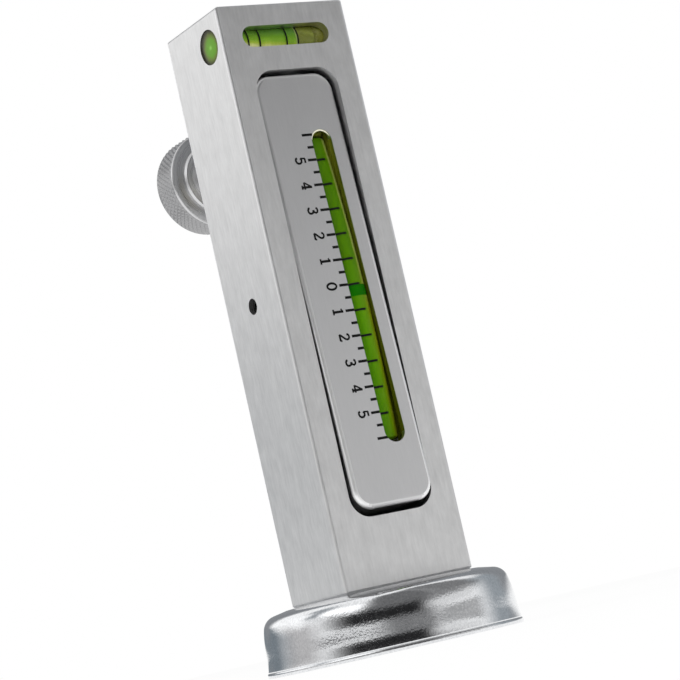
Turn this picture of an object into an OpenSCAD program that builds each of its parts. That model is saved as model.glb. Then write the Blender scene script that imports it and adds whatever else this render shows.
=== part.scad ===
/* [Body bar] */
// Width of the bar, left to right
body_w = 37.6; // [34:0.2:44]
// Depth of the bar, front to back
body_d = 27.4; // [27:0.2:34]
// Height of the bar above the magnet cup
body_h = 149.2; // [146:0.2:180]
// Radius of the bar's four upright edges
body_edge_r = 0.8; // [0.4:0.1:2]
// Chamfer along the front and back of the bar's top
top_chamfer = 0.5; // [0.2:0.1:1.5]
// Radius of the bar's left and right top corners
top_corner_r = 1.2; // [0.6:0.1:3]
// Chamfer round the bar's bottom face
foot_chamfer = 0.7; // [0.4:0.1:2]

/* [Pocket] */
// Thickness of the bar's wall at each side of the pocket
side_wall = 6.7; // [5.5:0.1:7.5]
// Metal left between the bar's foot and the pocket
pocket_foot = 17.4; // [17:0.1:22]
// Metal left between the pocket and the bar's top
pocket_head = 17.4; // [16.8:0.1:22]
// Radius of the pocket's corners
pocket_r = 5.5; // [4:0.1:7]
// Room behind the rocker when it stands straight
swing_room = 4; // [3.8:0.05:4.4]

/* [Rocker] */
// Gap between the rocker and each side wall of the pocket
rocker_side_gap = 0.6; // [0.4:0.05:0.8]
// Gap between the rocker and each end wall of the pocket, when it stands straight
rocker_end_gap = 1.2; // [1:0.05:1.5]
// Depth of the rocker, front to back
rocker_d = 17; // [16:0.1:17.2]
// Radius of the rounding round the rocker's front face
rocker_edge_r = 1.1; // [0.6:0.1:1.6]
// Height of the pivot above the pocket's middle
pivot_up = 0.6; // [-2:0.1:3]
// Depth of the pivot behind the bar's front face
pivot_depth = 13.7; // [12.5:0.1:14]
// Lean of the rocker as it stands, upper end inwards, in degrees
rest_lean = 2.1; // [0:0.1:3.5]

/* [Pivot screws] */
// Diameter of each pivot screw
pivot_screw_d = 4; // [3:0.1:5]
// Depth of the screw's outer end below the bar's side
pivot_screw_sink = 1.2; // [0.5:0.1:2]
// Diameter of the screw's plain nose, on which the rocker turns
pivot_nose_d = 2.5; // [1.5:0.1:3]
// Length of the nose inside the rocker
pivot_nose_grip = 2; // [1.5:0.1:3]
// Gap between the pocket's wall and the step behind the nose
pivot_step_gap = 0.3; // [0.1:0.1:0.6]
// Size of the hex socket across its flats
pivot_socket_af = 2; // [1.3:0.1:2.5]
// Depth of the hex socket
pivot_socket_depth = 2.2; // [1.5:0.1:3]

/* [Long vial] */
// Outer diameter of the long vial, a tube bent evenly with its middle towards the front
long_vial_d = 7.4; // [6.4:0.1:7.8]
// Distance that the bubble runs for one degree, which sets the vial's bend
degree_len = 6.58; // [6.2:0.02:7.4]
// Bore of the tube
long_bore_d = 5.4; // [4:0.1:5.8]
// Distance from each end of the rocker to the liquid
liquid_margin = 16; // [14:0.1:18]
// Thickness of the tube's closed lower end
long_vial_floor = 1.5; // [1:0.1:2]
// Length of the plug inside the tube's upper end
long_plug_len = 2.5; // [2:0.1:3]
// Distance of the vial's axis to the right of the bar's middle
long_vial_x = 4.3; // [3:0.1:5]
// Metal left between the rocker's front face and the hole for the vial
long_vial_cover = 0.5; // [0.4:0.1:1]
// Metal left between the hole for the vial and the rocker's lower end
vial_hole_foot = 13; // [11:0.1:14]
// Length of the cap that closes the hole at the rocker's upper end
vial_cap_len = 3; // [2:0.1:5]
// Depth of the cap below the rocker's upper end
vial_cap_sink = 1; // [0.5:0.1:2]
// Width of the slot in front of the vial
slot_w = 5.9; // [4:0.1:6.6]
// Distance from each end of the rocker to the slot
slot_margin = 15.15; // [13:0.05:18]
// Length of the long vial's bubble
long_bubble_len = 3.2; // [2.4:0.1:4]

/* [Short vial] */
// Outer diameter of the short vial
short_vial_d = 8.8; // [8:0.1:9.4]
// Length of the short vial
short_vial_len = 32; // [30:0.5:33]
// Diameter of the liquid in the short vial
short_bore_d = 6; // [4:0.1:6.6]
// Thickness of the vial's closed outer end
short_vial_floor = 2; // [1:0.1:3]
// Length of the plug in the vial's inner end
short_plug_len = 3.5; // [3:0.1:5]
// Depth of the vial's end below the bar's side
short_vial_sink = 0.4; // [0.2:0.1:1]
// Depth of the short vial's axis below the bar's top
short_vial_drop = 8.4; // [7.5:0.1:9.5]
// Depth of the short vial's axis behind the bar's front face
short_vial_y = 6.9; // [6.4:0.1:8]
// Length of the slot in front of the short vial
short_slot_len = 25.4; // [20:0.1:26]
// Height of the slot in front of the short vial
short_slot_w = 5.5; // [4:0.1:6.5]
// Length of the air between the short vial's plug and the liquid
short_air_len = 5.5; // [4:0.1:8]
// Depth of the hollow that the air makes in the liquid's end
short_air_dent = 1; // [0.5:0.1:1.5]

/* [Adjuster] */
// Depth of the thumb screw below the pocket's upper end
screw_drop = 14.5; // [11:0.1:19]
// Diameter of the thumb screw's shank
screw_d = 6; // [5:0.1:6.6]
// Bare length of shank between the bar and the knob
screw_bare = 18.9; // [14:0.1:24]
// Diameter of the knurled head
knob_d = 26.8; // [22:0.1:30]
// Length of the knurled head
knob_len = 9.6; // [7:0.1:12]
// Chamfer at each end of the knurled head
knob_chamfer = 0.6; // [0.4:0.1:1.2]
// Depth of the knurl's grooves
knurl_depth = 0.35; // [0.2:0.05:0.5]
// Diamonds round the knurl
knurl_count = 44; // [32:2:48]
// Rows of points along the knurl
knurl_rows = 10; // [6:2:12]
// Diameter of the boss in front of the head
boss_d = 21.4; // [16:0.1:21.8]
// Length of the boss
boss_len = 3.8; // [2:0.1:6]
// Length of shank held inside the knob
knob_bore_len = 9; // [6:0.1:10]
// Diameter of the threaded bush
bush_d = 9; // [8:0.1:10]
// Diameter of the bush's flange outside the bar
bush_flange_d = 12; // [11:0.1:14]
// Thickness of the bush's flange
bush_flange_t = 1.2; // [0.8:0.1:2]
// Diameter of the thrust pad
pad_d = 4.8; // [4:0.1:4.9]
// Length of the thrust pad
pad_len = 3; // [2.6:0.1:4]
// Diameter of the screw's nose inside the pad
pad_nose_d = 2.4; // [1.8:0.1:2.8]
// Length of the screw's nose inside the pad
pad_nose_len = 1.6; // [1:0.1:2]
// Chamfer round the pad's tip
pad_chamfer = 0.4; // [0.2:0.1:0.6]

/* [Return spring] */
// Height of the spring above the pocket's lower end
spring_rise = 14.9; // [11:0.1:20]
// Outer diameter of the spring
spring_d = 6.6; // [5:0.1:7]
// Wire diameter of the spring
spring_wire_d = 0.8; // [0.5:0.05:1]
// Turns of the spring
spring_turns = 8; // [6:1:10]
// Depth of the spring's seat in the rocker
seat_depth_rocker = 6; // [4:0.1:6.4]
// Depth of the spring's seat in the pocket's floor
seat_depth_body = 3; // [2:0.1:4]
// Room round the spring in its seats
seat_gap = 0.45; // [0.3:0.05:0.6]
// Gap between the spring's front turn and the end of its leaning seat
spring_end_gap = 0.3; // [0.25:0.05:0.4]

/* [Magnet base] */
// Diameter of the magnet cup at its rim
cup_d = 65.2; // [60:0.2:75]
// Height of the magnet cup
cup_h = 15.7; // [14:0.1:20]
// Thickness of the cup's sheet steel
cup_t = 1.6; // [1:0.1:2]
// Amount by which the cup's wall leans in, rim to shoulder
cup_lean = 0.65; // [0.2:0.05:1.2]
// Radius of the cup's shoulder
cup_shoulder_r = 3.8; // [2.5:0.1:5]
// Fall of the cup's top from its flat middle to the shoulder
cup_crown = 0.45; // [0.1:0.05:0.8]
// Distance from the cup's rim in to the flat middle of its top
cup_slope_in = 9.3; // [7:0.1:9.3]
// Small chamfer at the cup's rim
cup_rim = 0.35; // [0.1:0.05:0.6]
// Thickness of the ring round the ferrite disc, at its foot
spacer_t = 3.88; // [3:0.02:5]
// Thickness of the steel plate behind the disc
backing_t = 2.5; // [2:0.1:3]
// Gap between the plate's edge and the fall of the cup's top
backing_gap = 0.3; // [0.1:0.1:3]
// Height of the ring round the disc
spacer_h = 6; // [4:0.1:8]
// Depth of the ring below the magnet's face
spacer_sink = 0.4; // [0.2:0.1:1]
// Diameter of the stem that holds the cup to the bar
stem_d = 8; // [6:0.1:10]
// Length of the stem inside the bar
stem_len = 12; // [8:0.1:13]
// Diameter of the stem's riveted head
stem_head_d = 14; // [12:0.1:18]

/* [Clearances] */
// Gap on the radius between a turning nose and its hole
run_gap = 0.05; // [0.03:0.01:0.1]
// Gap on the radius between a screw's thread and its hole
thread_gap = 0.05; // [0.03:0.01:0.1]
// Gap on the radius between a glued piece and its seat
glue_gap = 0.06; // [0.03:0.01:0.1]
// Gap between the thrust pad and the rocker
pad_gap = 0.2; // [0.1:0.05:0.3]
// Gap past the end of each blind hole's contents
end_gap = 0.5; // [0.3:0.1:1]
// Gap between the turns at each closed end of the spring
turn_gap = 0.05; // [0.02:0.01:0.1]

/* [Hidden] */
$fn = 64;
over = 1; // how far a cutting shape runs past the face it cuts

// The bar stands on the cup, centred on it
body_z0 = cup_h;
body_z1 = body_z0 + body_h;
front_y = -body_d / 2;
back_y = body_d / 2;
side_x = body_w / 2;
pocket_w = body_w - 2 * side_wall;
pocket_z0 = body_z0 + pocket_foot;
pocket_z1 = body_z1 - pocket_head;
pocket_h = pocket_z1 - pocket_z0;
pocket_mid_z = (pocket_z0 + pocket_z1) / 2;
pocket_floor_y = front_y + rocker_d + swing_room;
pivot_y = front_y + pivot_depth;
pivot_z = pocket_mid_z + pivot_up;
screw_z = pocket_z1 - screw_drop;
spring_z = pocket_z0 + spring_rise;
short_vial_z = body_z1 - short_vial_drop;

// The rocker, in its own frame, stands straight with its face flush with the bar's
rocker_w = pocket_w - 2 * rocker_side_gap;
rocker_h = pocket_h - 2 * rocker_end_gap;
rocker_r = pocket_r - rocker_side_gap;
rocker_back_y = front_y + rocker_d;
slot_len = rocker_h - 2 * slot_margin;

// The long vial is bent round an axis far behind it, so a degree of lean moves the bubble by degree_len
bend_r = degree_len * 180 / PI;
long_liquid_half = rocker_h / 2 - liquid_margin;
long_vial_low = long_liquid_half + long_vial_floor;
long_vial_high = long_liquid_half + long_plug_len;
bend_rise = bend_r - sqrt(bend_r * bend_r - long_vial_high * long_vial_high);

// Its hole is straight. The tube's middle bears on the slot's edges and its ends on the back of the hole.
slot_half = slot_w / 2;
tube_room = long_vial_d / 2 + glue_gap;
tube_to_edge = sqrt(tube_room * tube_room - slot_half * slot_half);
edge_to_back = tube_to_edge + bend_rise + tube_room;
vial_hole_r = (edge_to_back * edge_to_back + slot_half * slot_half) / (2 * edge_to_back);
vial_hole_y = front_y + long_vial_cover + vial_hole_r;
long_vial_y = vial_hole_y + vial_hole_r - edge_to_back + tube_to_edge;

// Pivot screws: outer end, step to the nose and tip, measured from the bar's middle
pivot_out_x = side_x - pivot_screw_sink;
pivot_step_x = pocket_w / 2 + pivot_step_gap;
pivot_tip_x = rocker_w / 2 - pivot_nose_grip;

// Short vial, from the left side of the bar
short_x0 = -side_x + short_vial_sink;
short_x1 = short_x0 + short_vial_len;
short_y = front_y + short_vial_y;

// Thrust line: where the leaning rocker's back crosses the screw's height
function rocker_back_at(z) =
    pivot_y + (rocker_back_y - pivot_y) / cos(rest_lean) + (z - pivot_z) * tan(rest_lean);
pad_tip_y = rocker_back_at(screw_z) + pad_gap;
pad_end_y = pad_tip_y + pad_len;
boss_y = back_y + screw_bare;
head_y = boss_y + boss_len;
knob_end_y = head_y + knob_len;

// Spring, lengthways between its two seats
spring_back_y = pocket_floor_y + seat_depth_body;
spring_front_y = rocker_back_at(spring_z) - seat_depth_rocker + spring_end_gap;
spring_r = (spring_d - spring_wire_d) / 2;

// Magnet base
cup_r = cup_d / 2;
cup_top_in = cup_h - cup_t;
cup_flat_r = cup_r - cup_slope_in;
spacer_r = cup_r - cup_t - glue_gap;
magnet_r = spacer_r - spacer_t - glue_gap;
plate_z0 = cup_top_in - backing_t;

// A flat slot with round ends, upright and centred
module round_slot(w, len) {
    square([w, len - w], center = true);
    for (s = [-1, 1]) translate([0, s * (len - w) / 2]) circle(d = w);
}

// A flat shape with rounded corners, centred
module rounded(w, h, r) {
    square([w - 2 * r, h], center = true);
    square([w, h - 2 * r], center = true);
    for (sx = [-1, 1], sy = [-1, 1])
        translate([sx * (w / 2 - r), sy * (h / 2 - r)]) circle(r);
}

// A slab that stands in the XZ plane and runs from y0 to y1
module slab(w, h, r, y0, y1) {
    translate([0, y1, 0]) rotate([90, 0, 0]) linear_extrude(y1 - y0) rounded(w, h, r);
}

// A rod along Y from y0 to y1
module rod_y(r, y0, y1) {
    translate([0, y1, 0]) rotate([90, 0, 0]) cylinder(r = r, h = y1 - y0);
}

// A rod along X from x0 to x1
module rod_x(r, x0, x1) {
    translate([x0, 0, 0]) rotate([0, 90, 0]) cylinder(r = r, h = x1 - x0);
}

// Places what rides on the rocker at its resting lean
module on_rocker() {
    translate([0, pivot_y, pivot_z]) rotate([-rest_lean, 0, 0])
        translate([0, -pivot_y, -pivot_z]) children();
}

// Long prism that takes a chamfer c off an edge along X or Y
module edge_cut(len, c) {
    rotate([45, 0, 0]) cube([len, c * sqrt(2), c * sqrt(2)], center = true);
}

// Takes a top corner of radius r off a bar of depth d, at x = 0 and z = 0 on its +X side
module corner_cut(d, r) difference() {
    translate([-r, -d / 2, -r]) cube([r + over, d, r + over]);
    translate([-r, d / 2 + over, -r]) rotate([90, 0, 0]) cylinder(r = r, h = d + 2 * over);
}

module bar_blank() {
    difference() {
        translate([0, 0, body_z0]) linear_extrude(body_h) rounded(body_w, body_d, body_edge_r);
        for (s = [-1, 1]) {
            translate([0, s * back_y, body_z1]) edge_cut(body_w + 2 * over, top_chamfer);
            translate([0, s * back_y, body_z0]) edge_cut(body_w + 2 * over, foot_chamfer);
            translate([s * side_x, 0, body_z0]) rotate([0, 0, 90]) edge_cut(body_d + 2 * over, foot_chamfer);
        }
        for (a = [0, 180])
            rotate([0, 0, a]) translate([side_x, 0, body_z1]) corner_cut(body_d + 2 * over, top_corner_r);
    }
}

module body_bar() color([0.78, 0.78, 0.79]) {
    difference() {
        bar_blank();
        // pocket for the rocker
        translate([0, 0, pocket_mid_z]) slab(pocket_w, pocket_h, pocket_r, front_y - over, pocket_floor_y);
        // tapped holes for the pivot screws
        translate([0, pivot_y, pivot_z])
            rod_x(pivot_screw_d / 2 + thread_gap, -side_x - over, side_x + over);
        // blind hole for the short vial, from the left
        translate([0, short_y, short_vial_z])
            rod_x(short_vial_d / 2 + glue_gap, -side_x - over, short_x1 + end_gap);
        // slot in front of the short vial
        translate([0, short_y, short_vial_z]) rotate([90, 0, 0])
            linear_extrude(short_vial_y + over) rotate(90) round_slot(short_slot_w, short_slot_len);
        // hole for the adjuster's bush
        translate([0, 0, screw_z]) rod_y(bush_d / 2 + glue_gap, pocket_floor_y - over, back_y + over);
        // seat of the return spring
        translate([0, 0, spring_z]) rod_y(spring_d / 2 + seat_gap, pocket_floor_y - over, spring_back_y);
        // tapped hole for the stem of the magnet
        translate([0, 0, body_z0 - over])
            cylinder(r = stem_d / 2 + thread_gap, h = stem_len + end_gap + over);
    }
}

// Straight slab whose front edge is rounded in small steps
module rocker_blank() {
    steps = 4;
    hull() for (i = [0 : steps]) {
        a = 90 * i / steps;
        inset = rocker_edge_r * (1 - sin(a));
        y0 = front_y + rocker_edge_r * (1 - cos(a));
        slab(rocker_w - 2 * inset, rocker_h - 2 * inset, rocker_r - inset,
            y0, front_y + rocker_edge_r + over, $fn = 32);
    }
    slab(rocker_w, rocker_h, rocker_r, front_y + rocker_edge_r, rocker_back_y, $fn = 32);
}

module rocker() color([0.66, 0.66, 0.67]) on_rocker() {
    difference() {
        translate([0, 0, pocket_mid_z]) rocker_blank();
        // hole for the long vial, from the upper end
        translate([long_vial_x, vial_hole_y, pocket_mid_z - rocker_h / 2 + vial_hole_foot])
            cylinder(r = vial_hole_r, h = rocker_h);
        // slot that shows the vial
        translate([long_vial_x, vial_hole_y, pocket_mid_z]) rotate([90, 0, 0])
            linear_extrude(vial_hole_y - front_y + over) round_slot(slot_w, slot_len);
        // holes for the pivot noses
        for (s = [0, 1]) mirror([s, 0, 0]) translate([0, pivot_y, pivot_z])
            rod_x(pivot_nose_d / 2 + run_gap, pivot_tip_x - end_gap, rocker_w);
        // seat of the return spring
        translate([0, 0, spring_z])
            rod_y(spring_d / 2 + seat_gap, rocker_back_y - seat_depth_rocker, rocker_back_y + over);
    }
}

// Set screw that points to +X, with its tip at x = 0 in its own frame
module pivot_screw() {
    nose_len = pivot_step_x - pivot_tip_x;
    len = pivot_out_x - pivot_tip_x;
    difference() {
        union() {
            rod_x(pivot_nose_d / 2, 0, nose_len + over);
            rod_x(pivot_screw_d / 2, nose_len, len);
        }
        translate([len - pivot_socket_depth, 0, 0]) rotate([0, 90, 0])
            cylinder(d = pivot_socket_af / cos(30), h = pivot_socket_depth + over, $fn = 6);
    }
}

module pivot_screw_right() color([0.1, 0.1, 0.1])
    translate([pivot_tip_x, pivot_y, pivot_z]) pivot_screw();

module pivot_screw_left() color([0.1, 0.1, 0.1])
    translate([-pivot_tip_x, pivot_y, pivot_z]) rotate([0, 0, 180]) pivot_screw();

// A rod bent as the long vial is, from below to above the middle of the slot
module bent_rod(r, below, above) {
    a0 = asin(below / bend_r);
    a1 = asin(above / bend_r);
    translate([long_vial_x, long_vial_y + bend_r, pocket_mid_z]) rotate([0, -90, 0])
        rotate([0, 0, -90 - a0]) rotate_extrude(angle = a0 + a1, $fn = 720)
            translate([bend_r, 0]) circle(r, $fn = 48);
}

module camber_vial_tube() color([0.55, 0.75, 0.2, 0.4]) on_rocker() difference() {
    bent_rod(long_vial_d / 2, long_vial_low, long_vial_high);
    bent_rod(long_bore_d / 2, long_liquid_half, long_vial_high + over);
}

module camber_vial_liquid() color([0.25, 0.6, 0.05]) on_rocker() difference() {
    r = long_bore_d / 2 - glue_gap;
    bubble_r = long_bubble_len / 2;
    bent_rod(r, long_liquid_half - glue_gap, long_liquid_half - glue_gap);
    // the bubble breaks the liquid's front, with its top at the scale's zero
    translate([long_vial_x, long_vial_y - r / 2, pocket_mid_z - bubble_r]) sphere(bubble_r);
}

module camber_vial_plug() color([0.2, 0.35, 0.1]) on_rocker()
    bent_rod(long_bore_d / 2 - glue_gap, glue_gap - long_liquid_half, long_vial_high);

module rocker_cap() color([0.6, 0.6, 0.61]) on_rocker()
    translate([long_vial_x, vial_hole_y, pocket_mid_z + rocker_h / 2 - vial_cap_sink - vial_cap_len])
        cylinder(r = vial_hole_r - glue_gap, h = vial_cap_len);

module level_vial_tube() color([0.6, 0.8, 0.2, 0.4])
    translate([0, short_y, short_vial_z]) difference() {
        rod_x(short_vial_d / 2, short_x0, short_x1);
        rod_x(short_bore_d / 2, short_x0 + short_vial_floor, short_x1 + over);
    }

module level_vial_liquid() color([0.4, 0.65, 0.1])
    translate([0, short_y, short_vial_z]) difference() {
        r = short_bore_d / 2 - glue_gap;
        end_x = short_x1 - short_plug_len - short_air_len;
        dish_r = (r * r + short_air_dent * short_air_dent) / (2 * short_air_dent);
        rod_x(r, short_x0 + short_vial_floor + glue_gap, end_x);
        // the air hollows the end of the liquid into a shallow dish
        translate([end_x - short_air_dent + dish_r, 0, 0]) sphere(dish_r);
    }

module level_vial_plug() color([0.2, 0.35, 0.1])
    translate([0, short_y, short_vial_z])
        rod_x(short_bore_d / 2 - glue_gap, short_x1 - short_plug_len, short_x1);

// Points of a sleeve whose radius falls by knurl_depth at every second point, in a chequer
function knurl_r(i, j) = knob_d / 2 - knurl_depth * ((i + j) % 2);
function knurl_points(y0, y1) = [
    for (j = [0 : knurl_rows], i = [0 : 2 * knurl_count - 1])
        let (a = 180 * i / knurl_count, r = knurl_r(i, j))
            [r * cos(a), y0 + (y1 - y0) * j / knurl_rows, r * sin(a)]];

// Each square of the chequer is folded along the line between its two low points
module knurled_sleeve(y0, y1) {
    n = 2 * knurl_count;
    last = n * (knurl_rows + 1);
    sides = [for (j = [0 : knurl_rows - 1], i = [0 : n - 1])
        let (a = j * n + i, b = j * n + (i + 1) % n, c = a + n, d = b + n)
            each ((i + j) % 2 == 1 ? [[a, b, d], [a, d, c]] : [[a, b, c], [b, d, c]])];
    ends = [for (i = [0 : n - 1]) each [
        [last, (i + 1) % n, i],
        [last + 1, n * knurl_rows + i, n * knurl_rows + (i + 1) % n]]];
    polyhedron(concat(knurl_points(y0, y1), [[0, y0, 0], [0, y1, 0]]), concat(sides, ends));
}

module adjuster_knob() color([0.62, 0.62, 0.63]) translate([0, 0, screw_z]) {
    grip_r = knob_d / 2 - knurl_depth;
    core_r = grip_r - knurl_depth;
    grip_y0 = head_y + knob_chamfer;
    grip_y1 = knob_end_y - knob_chamfer;
    difference() {
        union() {
            rotate([90, 0, 0]) mirror([0, 0, 1]) rotate_extrude() polygon([
                [0, boss_y], [boss_d / 2 - knob_chamfer, boss_y], [boss_d / 2, boss_y + knob_chamfer],
                [boss_d / 2, head_y], [grip_r - knob_chamfer, head_y], [grip_r, grip_y0],
                [core_r, grip_y0], [core_r, grip_y1], [grip_r, grip_y1],
                [grip_r - knob_chamfer, knob_end_y], [0, knob_end_y]]);
            knurled_sleeve(grip_y0, grip_y1);
        }
        rod_y(screw_d / 2 + glue_gap, boss_y - over, boss_y + knob_bore_len);
    }
}

module adjuster_stud() color([0.7, 0.68, 0.6]) translate([0, 0, screw_z]) {
    rod_y(screw_d / 2, pad_end_y, boss_y + knob_bore_len);
    rod_y(pad_nose_d / 2, pad_end_y - pad_nose_len, pad_end_y + over);
}

module adjuster_bush() color([0.75, 0.62, 0.3]) translate([0, 0, screw_z]) difference() {
    union() {
        rod_y(bush_d / 2, pocket_floor_y, back_y + bush_flange_t);
        rod_y(bush_flange_d / 2, back_y, back_y + bush_flange_t);
    }
    rod_y(screw_d / 2 + thread_gap, pocket_floor_y - over, back_y + bush_flange_t + over);
}

module thrust_pad() color([0.75, 0.62, 0.3]) translate([0, 0, screw_z]) difference() {
    union() {
        rod_y(pad_d / 2, pad_tip_y + pad_chamfer, pad_end_y - run_gap);
        translate([0, pad_tip_y + pad_chamfer, 0]) rotate([90, 0, 0])
            cylinder(r1 = pad_d / 2, r2 = pad_d / 2 - pad_chamfer, h = pad_chamfer);
    }
    rod_y(pad_nose_d / 2 + run_gap, pad_end_y - pad_nose_len - run_gap, pad_end_y + over);
}

// Round wire wound along Y, with closed end turns
function coil_point(t) = let (
        lead = spring_wire_d + turn_gap,
        span = spring_back_y - spring_front_y - spring_wire_d,
        free = span - 2 * lead,
        y = t < 1 ? lead * t
            : t > spring_turns - 1 ? span - lead * (spring_turns - t)
            : lead + free * (t - 1) / (spring_turns - 2))
    [spring_r * cos(360 * t), spring_front_y + spring_wire_d / 2 + y, spring_r * sin(360 * t)];

module rocker_spring() color([0.7, 0.7, 0.72]) translate([0, 0, spring_z]) {
    per_turn = 16;
    ring = 8;
    n = spring_turns * per_turn;
    points = [for (k = [0 : n], m = [0 : ring - 1])
        let (t = k / per_turn, c = coil_point(t), a = 360 * m / ring, w = spring_wire_d / 2 * cos(a))
            [c[0] + w * cos(360 * t), c[1] + spring_wire_d / 2 * sin(a), c[2] + w * sin(360 * t)]];
    faces = [for (k = [0 : n - 1], m = [0 : ring - 1])
        let (a = k * ring + m, b = k * ring + (m + 1) % ring)
            each [[a, a + ring, b], [b, a + ring, b + ring]]];
    polyhedron(points, concat(faces, [[for (m = [0 : ring - 1]) m]],
        [[for (m = [0 : ring - 1]) n * ring + ring - 1 - m]]));
}

// Outline of the cup's shoulder and top, out to in, moved inwards by t
function cup_outline(t) = let (
        cx = cup_r - cup_lean - cup_shoulder_r,
        cz = cup_h - cup_crown - cup_shoulder_r,
        arc = 90 - atan(cup_crown / (cx - cup_flat_r)),
        steps = 9)
    concat([for (i = [0 : steps]) let (a = arc * i / steps)
            [cx + (cup_shoulder_r - t) * cos(a), cz + (cup_shoulder_r - t) * sin(a)]],
        [[cup_flat_r, cup_h - t], [0, cup_h - t]]);

module magnet_cup() color([0.8, 0.81, 0.83]) difference() {
    rotate_extrude()
        polygon(concat([[0, 0], [cup_r - cup_rim, 0], [cup_r, cup_rim]], cup_outline(0)));
    rotate_extrude()
        polygon(concat([[0, -over], [cup_r - cup_t, -over], [cup_r - cup_t, 0]], cup_outline(cup_t)));
    cylinder(r = stem_d / 2 + thread_gap, h = cup_h + over);
}

module magnet_disc() color([0.2, 0.2, 0.2]) cylinder(r = magnet_r, h = plate_z0);

module backing_plate() color([0.55, 0.56, 0.58]) translate([0, 0, plate_z0]) difference() {
    cylinder(r = cup_flat_r - backing_gap, h = backing_t);
    translate([0, 0, -over]) cylinder(r = stem_head_d / 2 + glue_gap, h = backing_t + 2 * over);
}

module spacer_ring() color([0.75, 0.7, 0.45]) difference() {
    wall = cup_lean / (cup_h - cup_crown - cup_shoulder_r);
    translate([0, 0, spacer_sink]) cylinder(r1 = spacer_r - wall * spacer_sink,
        r2 = spacer_r - wall * (spacer_sink + spacer_h), h = spacer_h);
    cylinder(r = magnet_r + glue_gap, h = spacer_sink + spacer_h + over);
}

module magnet_stem() color([0.7, 0.7, 0.72]) {
    translate([0, 0, plate_z0]) cylinder(d = stem_head_d, h = backing_t);
    translate([0, 0, plate_z0]) cylinder(d = stem_d, h = backing_t + cup_t + stem_len);
}

body_bar();
rocker();
pivot_screw_left();
pivot_screw_right();
camber_vial_tube();
camber_vial_liquid();
camber_vial_plug();
rocker_cap();
level_vial_tube();
level_vial_liquid();
level_vial_plug();
adjuster_knob();
adjuster_stud();
adjuster_bush();
thrust_pad();
rocker_spring();
magnet_cup();
magnet_disc();
backing_plate();
spacer_ring();
magnet_stem();
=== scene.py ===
import math

import bpy
import bmesh
from mathutils import Matrix, Vector


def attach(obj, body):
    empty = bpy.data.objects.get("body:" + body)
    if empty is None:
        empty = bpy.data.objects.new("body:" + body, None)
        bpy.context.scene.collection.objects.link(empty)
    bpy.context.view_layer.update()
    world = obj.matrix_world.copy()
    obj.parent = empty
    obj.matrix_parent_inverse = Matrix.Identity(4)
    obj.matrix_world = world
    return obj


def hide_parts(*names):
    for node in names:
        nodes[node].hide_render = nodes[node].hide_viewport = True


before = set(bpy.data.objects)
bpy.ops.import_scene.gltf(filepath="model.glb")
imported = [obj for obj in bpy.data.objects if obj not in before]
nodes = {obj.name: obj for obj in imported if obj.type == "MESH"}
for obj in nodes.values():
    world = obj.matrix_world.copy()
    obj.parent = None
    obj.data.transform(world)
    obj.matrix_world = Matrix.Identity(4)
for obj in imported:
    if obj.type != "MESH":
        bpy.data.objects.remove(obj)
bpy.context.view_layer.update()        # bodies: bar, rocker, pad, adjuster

print("frame loaded")


# The camera stands low, to the left of the gauge, and is rolled so that the gauge leans
cameraView = {
    "lens": 126.28,          # mm
    "sensor": 36,            # mm
    "azimuth": -32.27,
    "elevation": -7.05,
    "roll": -12.84,
    "distance": 0.60386,
    "target": (0, 0, 0.080),
    "slide": (0.00357, -0.00008),
}


def outward(azimuth, elevation):
    # the direction with these angles in degrees, where azimuth 0 is the gauge's front
    turn, lift = math.radians(azimuth), math.radians(elevation)
    return Vector((math.sin(turn) * math.cos(lift), -math.cos(turn) * math.cos(lift), math.sin(lift)))


def addCamera(view):
    azimuth, roll = math.radians(view["azimuth"]), math.radians(view["roll"])
    back = outward(view["azimuth"], view["elevation"])
    right = Vector((math.cos(azimuth), math.sin(azimuth), 0))
    up = back.cross(right)
    rolledRight = right * math.cos(roll) + up * math.sin(roll)
    rolledUp = up * math.cos(roll) - right * math.sin(roll)
    place = Vector(view["target"]) + rolledRight * view["slide"][0] + rolledUp * view["slide"][1]
    place += back * view["distance"]
    data = bpy.data.cameras.new("gaugeCamera")
    data.lens = view["lens"]
    data.sensor_width = view["sensor"]
    data.clip_start = 0.01
    camera = bpy.data.objects.new("gaugeCamera", data)
    bpy.context.scene.collection.objects.link(camera)
    turn = Matrix((rolledRight, rolledUp, back)).transposed().to_4x4()
    camera.matrix_world = Matrix.Translation(place) @ turn
    bpy.context.scene.camera = camera


addCamera(cameraView)
print("camera placed")


def setInputs(node, values):
    for name, value in values.items():
        node.inputs[name].default_value = value


def newMaterial(name, constants):
    material = bpy.data.materials.new(name)
    material.use_nodes = True
    tree = material.node_tree
    shader = tree.nodes["Principled BSDF"]
    setInputs(shader, constants)
    return material, tree, shader


def addNode(tree, kind, **values):
    node = tree.nodes.new(kind)
    for key, value in values.items():
        setattr(node, key, value)
    return node


def feed(tree, sockets, values):
    # each value is another node's output, or else a constant
    for socket, value in zip(sockets, values):
        if isinstance(value, bpy.types.NodeSocket):
            tree.links.new(value, socket)
        else:
            socket.default_value = value


def mathNode(tree, operation, *values, clamp=False):
    node = addNode(tree, "ShaderNodeMath", operation=operation, use_clamp=clamp)
    feed(tree, node.inputs, values)
    return node.outputs[0]


def vectorNode(tree, operation, *values, output="Vector"):
    node = addNode(tree, "ShaderNodeVectorMath", operation=operation)
    feed(tree, node.inputs, values)
    return node.outputs[output]


def blend(tree, share, first, second):
    node = addNode(tree, "ShaderNodeMix")
    feed(tree, (node.inputs[0], node.inputs[2], node.inputs[3]), (share, first, second))
    return node.outputs[0]


def blendColours(tree, share, first, second):
    node = addNode(tree, "ShaderNodeMix", data_type="RGBA")
    feed(tree, (node.inputs[0], node.inputs[6], node.inputs[7]), (share, first, second))
    return node.outputs[2]


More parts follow.
